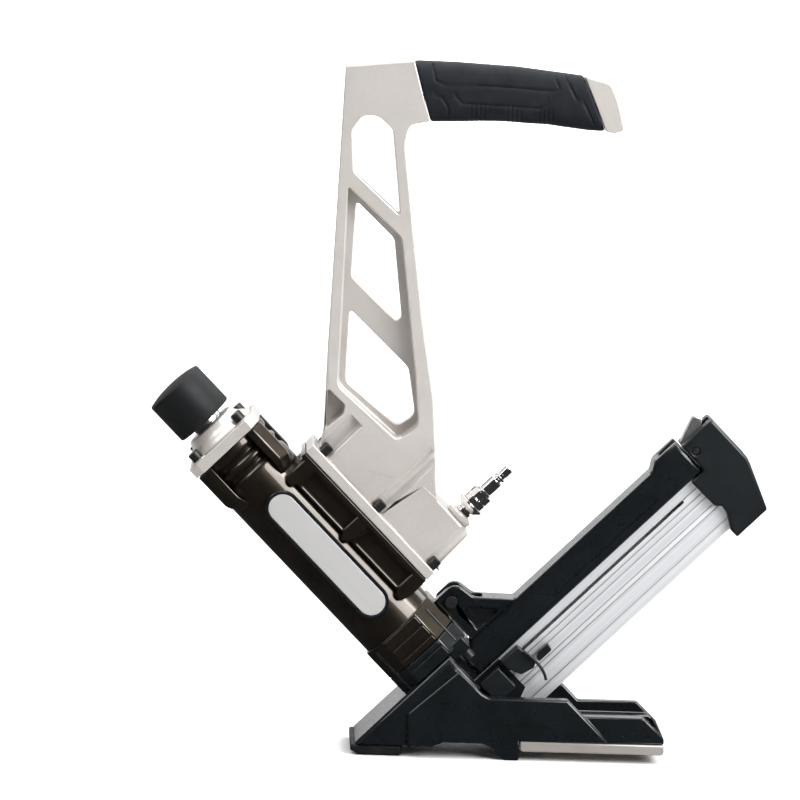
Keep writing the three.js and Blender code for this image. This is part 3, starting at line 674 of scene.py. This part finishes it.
def stepped(radius, depth, steps):
    """A stadium whose top goes in and up by each (width, rise)."""
    bm = stadium(radius, depth)
    face = top_face(bm)
    for width, rise in steps:
        bmesh.ops.inset_region(bm, faces=[face], thickness=width, depth=0)
        bmesh.ops.translate(bm, verts=face.verts, vec=(0, 0, rise))
    return bm


for side, node in ((-1, "badge_near"), (1, "badge_far")):
    place = DRIVE @ Matrix.Translation((BADGE_A, side * BADGE_Y, DRIVE_B)) @ quarter_turn("X", -side)
    piece(node + "_rim", stepped(RIM_R, 1.9, RIM_STEPS), BADGE_RIM, node, matrix=place, smooth=50)
    silver = stepped(SILVER_R, 2.35, SILVER_STEPS)
    piece(node + "_plate", silver, BADGE, node, matrix=place, smooth=30, hide=False)
print("badges:", BADGE_HALF * 2 + RIM_R * 2, "mm long")

# %% [markdown]
# The grip is a moulded sleeve. A plain round tube is made first, with rows close enough to hold a groove,
# and every point is then moved to the sleeve's own section. Grooves are pressed in where a point lies
# close to a drawn line, and finger ribs are pressed in underneath.

# %% Grip sleeve
GRIP_ROWS, GRIP_AROUND = 190, 168
GRIP_DEPTH = 16.4  # half of its thickness
GRIP_LENGTH = 136
SQUARE = 0.62  # below 1, a round section grows squarer
GROOVE_DEPTH = GROOVE_WIDTH = 0.85
RIB_DEPTH, RIB_PITCH, RIB_GROUP = 0.9, 3.6, 27
LIP_DEPTH, LIP_WIDTH = 0.9, 0.8
GRIP_TOP = [(-165, 547), (-120, 546.6), (-70, 544.6), (-20, 539.5)]
GRIP_BOTTOM = [(-165, 498.2), (-100, 500.8), (-60, 499.3), (-30, 496.0), (0, 495)]
GRIP_LINES = [
    [(-146, 545), (-144, 532), (-136, 528.5), (-100, 529), (-50, 526.5), (-46, 529), (-49, 538)],
    [(-149, 522), (-138, 518), (-133, 510), (-133, 502)],
    [(-41, 538), (-33, 522), (-26, 518), (-18, 502)],
    [(-128, 520), (-122, 514), (-60, 512), (-54, 518)],
]


def along(points, x):
    for (x0, z0), (x1, z1) in zip(points, points[1:]):
        if x <= x1:
            break
    t = min(max((x - x0) / (x1 - x0), 0), 1)
    return z0 + (z1 - z0) * t


def to_segment(x, z, start, end):
    run, rise = end[0] - start[0], end[1] - start[1]
    t = ((x - start[0]) * run + (z - start[1]) * rise) / (run ** 2 + rise ** 2)
    t = min(max(t, 0), 1)
    return math.hypot(x - start[0] - t * run, z - start[1] - t * rise)


def groove(x, z):
    near = min(to_segment(x, z, p, q) for line in GRIP_LINES for p, q in zip(line, line[1:]))
    return GROOVE_DEPTH * math.exp(-((near / GROOVE_WIDTH) ** 2))


def finger_rib(x, below):
    inside = max(0.0, 1 - abs(below - 7) / 9) * (-124 < x < -40)
    group = 0.5 + 0.5 * math.cos((x + 82) * math.tau / RIB_GROUP)
    return RIB_DEPTH * inside * group * (0.5 + 0.5 * math.cos(x * math.tau / RIB_PITCH))


grip = bmesh.new()
bmesh.ops.create_cone(
    grip, cap_ends=False, cap_tris=False, segments=GRIP_AROUND, radius1=1, radius2=1, depth=1,
)
lengthwise = [e for e in grip.edges if abs(e.verts[0].co.z - e.verts[1].co.z) > 0.5]
bmesh.ops.subdivide_edges(grip, edges=lengthwise, cuts=GRIP_ROWS, use_grid_fill=True)
for vert in grip.verts:
    t = vert.co.z + 0.5
    angle = math.atan2(vert.co.y, vert.co.x)
    across = math.copysign(abs(math.cos(angle)) ** SQUARE, math.cos(angle))
    height = math.copysign(abs(math.sin(angle)) ** SQUARE, math.sin(angle))
    x_mid = -153 + GRIP_LENGTH * t
    top, bottom = along(GRIP_TOP, x_mid), along(GRIP_BOTTOM, x_mid)
    middle = (top + bottom) / 2
    z = middle + height * (top - bottom) / 2
    # both ends of the sleeve lean, as the castings beside them do
    left = -160.2 + (547 - z) * 0.2827
    right = -26.6 + (540 - z) * 0.41
    x = left + (right - left) * t
    lip = LIP_DEPTH * math.exp(-min(t, 1 - t) * GRIP_LENGTH / LIP_WIDTH)
    dent = lip + (groove(x, z) if abs(across) > 0.6 else 0) + finger_rib(x, z - bottom)
    shrink = 1 - dent / GRIP_DEPTH
    vert.co = (x, across * GRIP_DEPTH * shrink, middle + (z - middle) * shrink)
bmesh.ops.holes_fill(grip, edges=[e for e in grip.edges if e.is_boundary], sides=0)
outward(grip)
piece("grip_moulding", grip, GRIP, "grip_sleeve", matrix=UPRIGHT, smooth=50)
print("grip", GRIP_LENGTH, "mm long with", len(GRIP_LINES), "drawn grooves")

# %% [markdown]
# The air fitting is a stack of turnings: a bushing in the casting, a swivel with a hexagon, and the plug.

# %% Air inlet
INLET = along_b(-209)
INLET_BORE_R = 3


def hexed(bm, low, high, flat):
    """Pushes the points of a band onto a hexagon, so that the band takes a spanner."""
    for vert in bm.verts:
        radius = math.hypot(vert.co.x, vert.co.y)
        if low < vert.co.z < high and radius > INLET_BORE_R:
            angle = math.atan2(vert.co.y, vert.co.x)
            move_out(vert, angle, min(hex_reach(angle, flat), radius))
    return bm


piece("inlet_bushing_turning", spun([
    (32, 3.5), (32, 6.3), (48.4, 6.3), (48.4, 10.6), (49, 11.2), (51.6, 11.2), (52.5, 10.4), (52.8, 8.8),
    (53.5, 8.5), (53.5, 3.5), (32, 3.5),
]), CHAMPAGNE, "inlet_bushing", matrix=INLET)
piece("swivel_neck_turning", spun([
    (40, 2.2), (40, 3.2), (53.8, 3.2), (53.8, 5.9), (54.3, 6.4), (56.6, 6.4), (57.2, 5.2), (57.8, 5.2),
    (58.6, 7), (62.4, 10.7), (63, 11), (64, 11), (64.5, 10.6), (64.5, 2.2), (40, 2.2),
]), CHROME, "swivel_neck", matrix=INLET)
piece("swivel_body_turning", hexed(spun([
    (64.8, 2.2), (64.8, 8.4), (65.3, 8.9), (69.6, 8.9), (70, 8.4), (70.4, 8.4), (70.8, 8.9),
    (76.2, 8.9), (77, 8.2), (77, 6), (78.6, 6), (79, 5.6), (79, 2.2), (64.8, 2.2),
]), 70.6, 76.9, 7.9), CHROME, "swivel_body", matrix=INLET, smooth=25)
piece("air_plug_turning", spun([
    (79.3, 1.6), (79.3, 4.9), (79.8, 5.4), (91.2, 5.4), (92, 4.8), (92, 3.2), (93.6, 3.2), (94.2, 4.6),
    (95.6, 4.7), (96.2, 3.2), (98.4, 3.2), (98.8, 3.7), (105.1, 3.6), (105.7, 3.1), (105.7, 1.6),
    (79.3, 1.6),
]), CHROME, "air_plug", matrix=INLET, smooth=35)
print("air inlet stands", 105.7 - 48, "mm out of the casting")

# %% [markdown]
# The bronze body is a turned tube with a box cast along its top. The scallops near the head run round the
# tube, so they belong to its profile. Four rails stand at the corners of the head end, and the box has a
# frame with two sunk panels on each side. Each of these is a simple body with its own eased edges.

# %% Bronze body
TUBE_R = 33.4
BORE_R = 29.3
HEAD_END, NOSE_END = -376, -153
SCALLOPS = [-366, -354.5]
SCALLOP_DEPTH, SCALLOP_WIDTH = 3.6, 3.1
FLANGE_DEPTH = -5  # the box stands between this height and BOX_DEPTH
BOX_DEPTH = -24.6


def tube_radius(a):
    dip = sum(math.exp(-(((a - at) / SCALLOP_WIDTH) ** 2)) for at in SCALLOPS)
    return TUBE_R - SCALLOP_DEPTH * dip


scalloped = [(HEAD_END + step / 2, tube_radius(HEAD_END + step / 2)) for step in range(91)]
tube_profile = [(NOSE_END, BORE_R), (HEAD_END, BORE_R)] + scalloped
tube_profile += [(-320, TUBE_R), (NOSE_END, TUBE_R), (NOSE_END, BORE_R)]
body_parts = [placed(shaded(spun(tube_profile, 144)), ALONG_A)]
# corner rails of the head end, which sink into the tube at their lower ends
for side in (-1, 1):
    for up in (-1, 1):
        corner = [(33.2, 19.5), (33.2, 25.6), (25.6, 33.2), (19.5, 33.2), (20.9, 20.9)]
        rail = plate([(side * y, up * b) for y, b in corner], 330, -HEAD_END, 1.0)
        for cut_at in range(331, 347, 2):
            everything = rail.verts[:] + rail.edges[:] + rail.faces[:]
            bmesh.ops.bisect_plane(rail, geom=everything, plane_co=(0, cut_at, 0), plane_no=(0, 1, 0))
        for vert in rail.verts:
            sink = min(max((345 - vert.co.y) / 15, 0), 1)
            radius = math.hypot(vert.co.x, vert.co.z)
            scale = 1 + (min(radius, 30.5) / radius - 1) * sink ** 1.4
            vert.co.x *= scale
            vert.co.z *= scale
        body_parts.append(placed(rail, ACROSS @ Matrix.Translation((0, 0, DRIVE_B))))
print("tube and corner rails:", len(body_parts), "parts")

# %% [markdown]
# Each side of the box is a plate with two windows over a plain plate, so the windows read as sunk panels.
# Bosses stand on it where the flange screws go in, and a small ear at the lower end takes the bracket.

# %% Box of the body
BOX = [(-333, FLANGE_DEPTH), (-323, BOX_DEPTH, 2), (-199, BOX_DEPTH, 2), (-193, FLANGE_DEPTH)]


def panel(a0, a1):
    return [(a0, -8, 1.5), (a0, -21.6, 1.5), (a1, -21.6, 1.5), (a1, -8, 1.5)]


body_parts += on_both_sides(BOX, 28.2, 32, 1.5, [panel(-316, -268), panel(-253, -205)], 4)
body_parts += on_both_sides(BOX, 24.2, 28.4, 0)
turns = [math.radians(turn) for turn in range(44, 137, 4)]
over_tube = [(30 * math.cos(turn), 30 * math.sin(turn) + DRIVE_B) for turn in turns]
end_wall = [(28, FLANGE_DEPTH), (28, BOX_DEPTH)] + over_tube + [(-28, BOX_DEPTH), (-28, FLANGE_DEPTH)]
for a, slant in ((-333, 10), (-199, -6)):
    wall = plate(end_wall, -a - 6, -a, 0.5)
    for vert in wall.verts:
        vert.co.y -= slant * min(max((FLANGE_DEPTH - vert.co.z) / (FLANGE_DEPTH - BOX_DEPTH), 0), 1)
    body_parts.append(placed(wall, ACROSS))
flange = plate([(-334, -2), (-334, -6.4), (-193, -6.4), (-193, -2)], -34, 34, 0.7)
body_parts.append(placed(flange, DRIVE))
for a in FLANGE_SCREWS_A:
    boss = [(a - 6.2, FLANGE_DEPTH), (a - 6.2, -21, 2), (a - 2.4, -28.5, 2), (a + 2.4, -28.5, 2),
            (a + 6.2, -21, 2), (a + 6.2, FLANGE_DEPTH)]
    body_parts += on_both_sides(boss, 22, 33.6, 1.6)
ear = plate([(-172, -20), (-172, 6, 5), (-156, 6, 5), (-156, -20)], -7.5, 7.5, 0.8)
body_parts.append(placed(ear, DRIVE))
print("body parts", len(body_parts))

# %% [markdown]
# The lower end of the body and the black collar share one eight-sided section. Raised pads on their flat
# sides leave the thin grooves between them.

# %% Eight-sided lower end and collar
LOWER_END = (33.7, 16)
BLADE_HOLE_R = 9.5


def octagon(half, corner):
    inner = half - corner
    offsets = [(half, -inner), (half, inner), (inner, half), (-inner, half),
               (-half, inner), (-half, -inner), (-inner, -half), (inner, -half)]
    return [(y, DRIVE_B + b) for y, b in offsets]


def pads(*spans):
    for a0, a1 in spans:
        outline = [(a0, -28.4, 1), (a1, -28.4, 1), (a1, -61.6, 1), (a0, -61.6, 1)]
        yield from on_both_sides(outline, 32, 34.3, 0.6)


def casting(name, parts, material, node, smooth=45):
    piece(name, merged(*parts), material, node, matrix=UPRIGHT, smooth=smooth, curved=False)


skirt = plate(octagon(*LOWER_END), 152.4, 180, 0.9, [bore(BORE_R)])
for vert in skirt.verts:
    radius = math.hypot(vert.co.x, vert.co.z - DRIVE_B)
    if vert.co.y > 176 and radius > BORE_R + 2:
        vert.co.y += 0.45 * max(0, 36 - radius)  # the upper rim rises where the flats are closest in
body_parts.append(placed(skirt, ACROSS))
body_parts += pads((-178.5, -170.4), (-168.6, -159.4), (-157.6, -152.6))
casting("body_casting", body_parts, BRONZE, "main_body")
bracket_seat = plate([(-140, -29), (-140, -13), (-129, -13), (-129, -29)], -30, 30, 0.8)
collar_parts = [
    placed(plate(octagon(*LOWER_END), 136.3, 152, 0.9, [bore(BLADE_HOLE_R)]), ACROSS),
    placed(bracket_seat, DRIVE),
    *pads((-151.4, -148), (-146.2, -136.6)),
]
casting("collar_casting", collar_parts, BLACK_CASTING, "nose_collar")
print("lower end and collar done")

# %% [markdown]
# The head cap is a square flange with a turned dome on it. The screw lobes at its corners are short
# rounded pads.

# %% Head cap
dome = spun([
    (-384, 16), (-384, 31.5), (-386.5, 31.5), (-388.2, 30.6), (-391, 27.4), (-393, 24.8), (-395, 23.2),
    (-398.4, 21.8), (-399.5, 21), (-400, 19.8), (-400, 14.2), (-399.4, 13.5), (-384, 13.5), (-384, 16),
], 96)
cap_parts = [
    placed(plate(octagon(34.2, 8), 377, 386, 0.9, [bore(16.6)]), ACROSS),
    placed(shaded(dome), ALONG_A),
]
for y, b in cap_corners:
    lobe = spun([(-384, 0), (-384, 7.6), (-386.2, 7.6), (-386.9, 7.2), (-387.1, 6.4), (-387.1, 0)], 48)
    cap_parts.append(placed(shaded(lobe), drilled_along_a(y, DRIVE_B + b, 1)))
casting("head_casting", cap_parts, CHAMPAGNE, "head_cap", smooth=35)
print("head cap done")

# %% [markdown]
# The castings, mouldings and plain plates keep the model's own shape. Only their edges change: a cast
# edge has a radius, and that line of light along it is what makes it read as metal.

# %% Castings and plates from the model
SOFTENED = [
    ("handle_casting", 0.9, CHAMPAGNE), ("base_shoe", 1.1, BLACK_CASTING),
    ("magazine_beam", 1.4, BLACK_CASTING), ("magazine_end_cap", 1.3, NYLON),
    ("magazine_extrusion", 0.12, RAIL), ("sole_plate", 0.8, SOLE), ("front_foot", 1.0, CAP_RUBBER),
    ("follower_carriage", 0.6, NYLON), ("follower_tab", 0.7, NYLON), ("latch_lever", 0.6, ALLOY),
    ("driver_guide", 0.3, STEEL), ("driver_blade", 0.3, STEEL), ("head_gasket", 0.08, SEAL),
    ("handle_gasket", 0.05, SEAL), ("valve_cage", 0.4, ALLOY), ("head_valve", 0.4, ALLOY),
    ("cylinder_sleeve", 0.3, STEEL), ("cylinder_seal", 0.3, SEAL), ("drive_piston", 0.4, ALLOY),
    ("piston_ring", 0.2, SEAL), ("bumper", 0.6, SEAL), ("latch_pin", 0.3, OXIDE),
    ("bracket_screw", 0.3, OXIDE), ("follower_wire", 0.2, OXIDE), ("feed_spring", 0.3, STEEL),
]
for node, width, material in SOFTENED:
    softened(node, width, material)
print("softened", len(SOFTENED), "nodes")

# %% [markdown]
# The nose guide is a moulded block on the near side of the rail. A thin plate lies between it and the
# rail's face, and a filler closes the gap between the collar and the lower end of the beam.

# %% Nose guide
nose_guide = plate([(-101, -8.6, 1), (-101, -28.8, 2), (-80, -28.8, 2), (-80, -8.6, 1)], -28, -13.4, 0.9)
backing = plate([(-103.6, -4.8), (-103.6, -37.4), (-58, -37.4), (-72, -4.8)], -13.5, -12.8, 0.1)
filler = plate([
    (-128.4, -25.8), (-128.4, -42), (-106.8, -42), (-106.8, -38), (-104.8, -36), (-104.8, -25.8),
], -13, 13, 0.4)
nose_parts = [placed(part, DRIVE) for part in (nose_guide, backing, filler)]
casting("nose_guide_body", nose_parts, NYLON, "nose_guide")
print("nose guide:", len(nose_parts), "parts")

# %% [markdown]
# A pale floor that runs up into a pale wall gives the even look of a catalogue picture. A glossy tool
# would mirror all that white, though. The floor in front is left out of reflections, and a grey card
# stands in for the backdrop, so that dark parts stay dark and faces seen edge-on do not burn out.

# %% Floor and backdrop
FLOOR_Z = cad_box[0][2]
SPLIT_Y = 0.45  # the floor ends here and the backdrop starts
BEND_Y, BEND_R = 4.6, 1.4  # far enough back for a camera to stand behind the tool
BEND = [
    (BEND_Y + BEND_R * math.sin(turn), FLOOR_Z + BEND_R - BEND_R * math.cos(turn))
    for turn in [step * math.pi / 16 for step in range(1, 9)]
]
SWEEP = [(SPLIT_Y, FLOOR_Z), (BEND_Y, FLOOR_Z), *BEND, (BEND_Y + BEND_R, 6.0)]
SHEET_HALF = 6.0


def pale(place):
    return {"Roughness": place.noise(3).spread(0.3, 0.7, 0.8, 0.9)}


FLOOR_PAINT = finish("floor", pale, Base_Color=grey(0.9))
CARD_PAINT = finish("card", pale, Base_Color=grey(0.32))


def sheet(name, outline, paint):
    bm = bmesh.new()
    row = [bm.verts.new((-SHEET_HALF, y, z)) for y, z in outline]
    strips = [bm.edges.new(pair) for pair in zip(row, row[1:])]
    grown = bmesh.ops.extrude_edge_only(bm, edges=strips)
    moved = [item for item in grown["geom"] if isinstance(item, bmesh.types.BMVert)]
    bmesh.ops.translate(bm, verts=moved, vec=(2 * SHEET_HALF, 0, 0))
    bm.normal_update()
    bm.faces.ensure_lookup_table()
    if bm.faces[0].normal.z < 0:
        bmesh.ops.reverse_faces(bm, faces=bm.faces)
    shaded(bm)
    mesh = bpy.data.meshes.new(name)
    bm.to_mesh(mesh)
    bm.free()
    mesh.materials.append(paint)
    obj = bpy.data.objects.new(name, mesh)
    bpy.context.scene.collection.objects.link(obj)
    return obj


sheet("floor", [(-6.0, FLOOR_Z), (SPLIT_Y, FLOOR_Z)], FLOOR_PAINT).visible_glossy = False
sheet("backdrop", SWEEP, FLOOR_PAINT).visible_glossy = False
card = sheet("card", [(y - 0.04, z + 0.02) for y, z in SWEEP], CARD_PAINT)
card.visible_camera = card.visible_diffuse = card.visible_shadow = False
print("floor and backdrop ready")

# %% [markdown]
# The key stands in front on the right and lights the near side, and the top light lights what faces up.
# The band light draws the long highlight on the tube, and the left and right lights catch the edges.
# Three more keep the floor and the wall white.

# %% Lights and surroundings
bpy.context.scene.view_settings.view_transform = "Standard"
world = bpy.data.worlds.new("studio")
bpy.context.scene.world = world
world.use_nodes = True
world.node_tree.nodes["Background"].inputs["Color"].default_value = grey(1.0)
world.node_tree.nodes["Background"].inputs["Strength"].default_value = 0.035
TOOL = (-0.1, 0, 0.25)  # where the lights aim


def soft_light(name, place, aim, size, power):
    data = bpy.data.lights.new(name, "AREA")
    data.shape = "RECTANGLE"
    data.size, data.size_y = size
    data.energy = power
    lamp = bpy.data.objects.new(name, data)
    lamp.location = place
    lamp.rotation_euler = (Vector(aim) - Vector(place)).to_track_quat("-Z", "Y").to_euler()
    bpy.context.scene.collection.objects.link(lamp)


soft_light("key", (1.15, -1.37, 1.16), TOOL, (1.3, 0.9), 36)
soft_light("band", (1.25, -0.95, 1.6), TOOL, (0.8, 0.8), 16)
soft_light("top", (-0.5, -0.3, 2.2), TOOL, (1.6, 0.6), 20)
soft_light("left", (-1.8, -0.5, 1.9), TOOL, (1.1, 1.3), 20)
soft_light("right", (1.3, 1.1, 1.6), TOOL, (0.9, 1.2), 14)
soft_light("wall", (0, 3.9, 2.6), (0, 6.0, 0.6), (5.0, 0.8), 190)
soft_light("floor", (0, 0.5, 3.4), (0, 0.9, 0), (5.0, 2.0), 90)
soft_light("far_floor", (0, 3.3, 3.2), (0, 3.7, 0), (5.0, 2.0), 100)

# %% [markdown]
# A long lens from far away keeps the proportions plain. It looks slightly down, with a slight roll.

# %% Camera
LOOK_AT = Vector((-0.1628, -0.0011, 0.2754))
DISTANCE = 3.2
AZIMUTH = math.radians(-1.6)
ELEVATION = math.radians(7.1)
ROLL = math.radians(2.0)
LEVEL = math.cos(ELEVATION)
back = Vector((math.sin(AZIMUTH) * LEVEL, -math.cos(AZIMUTH) * LEVEL, math.sin(ELEVATION)))
camera_data = bpy.data.cameras.new("camera")
camera_data.lens = 180
camera_data.sensor_width = 36
camera_data.clip_end = 30
camera = bpy.data.objects.new("camera", camera_data)
turned = back.to_track_quat("Z", "Y").to_matrix().to_4x4() @ Matrix.Rotation(ROLL, 4, "Z")
camera.matrix_world = Matrix.Translation(LOOK_AT + back * DISTANCE) @ turned
bpy.context.scene.collection.objects.link(camera)
bpy.context.scene.camera = camera
print("camera", [round(v, 3) for v in camera.location])
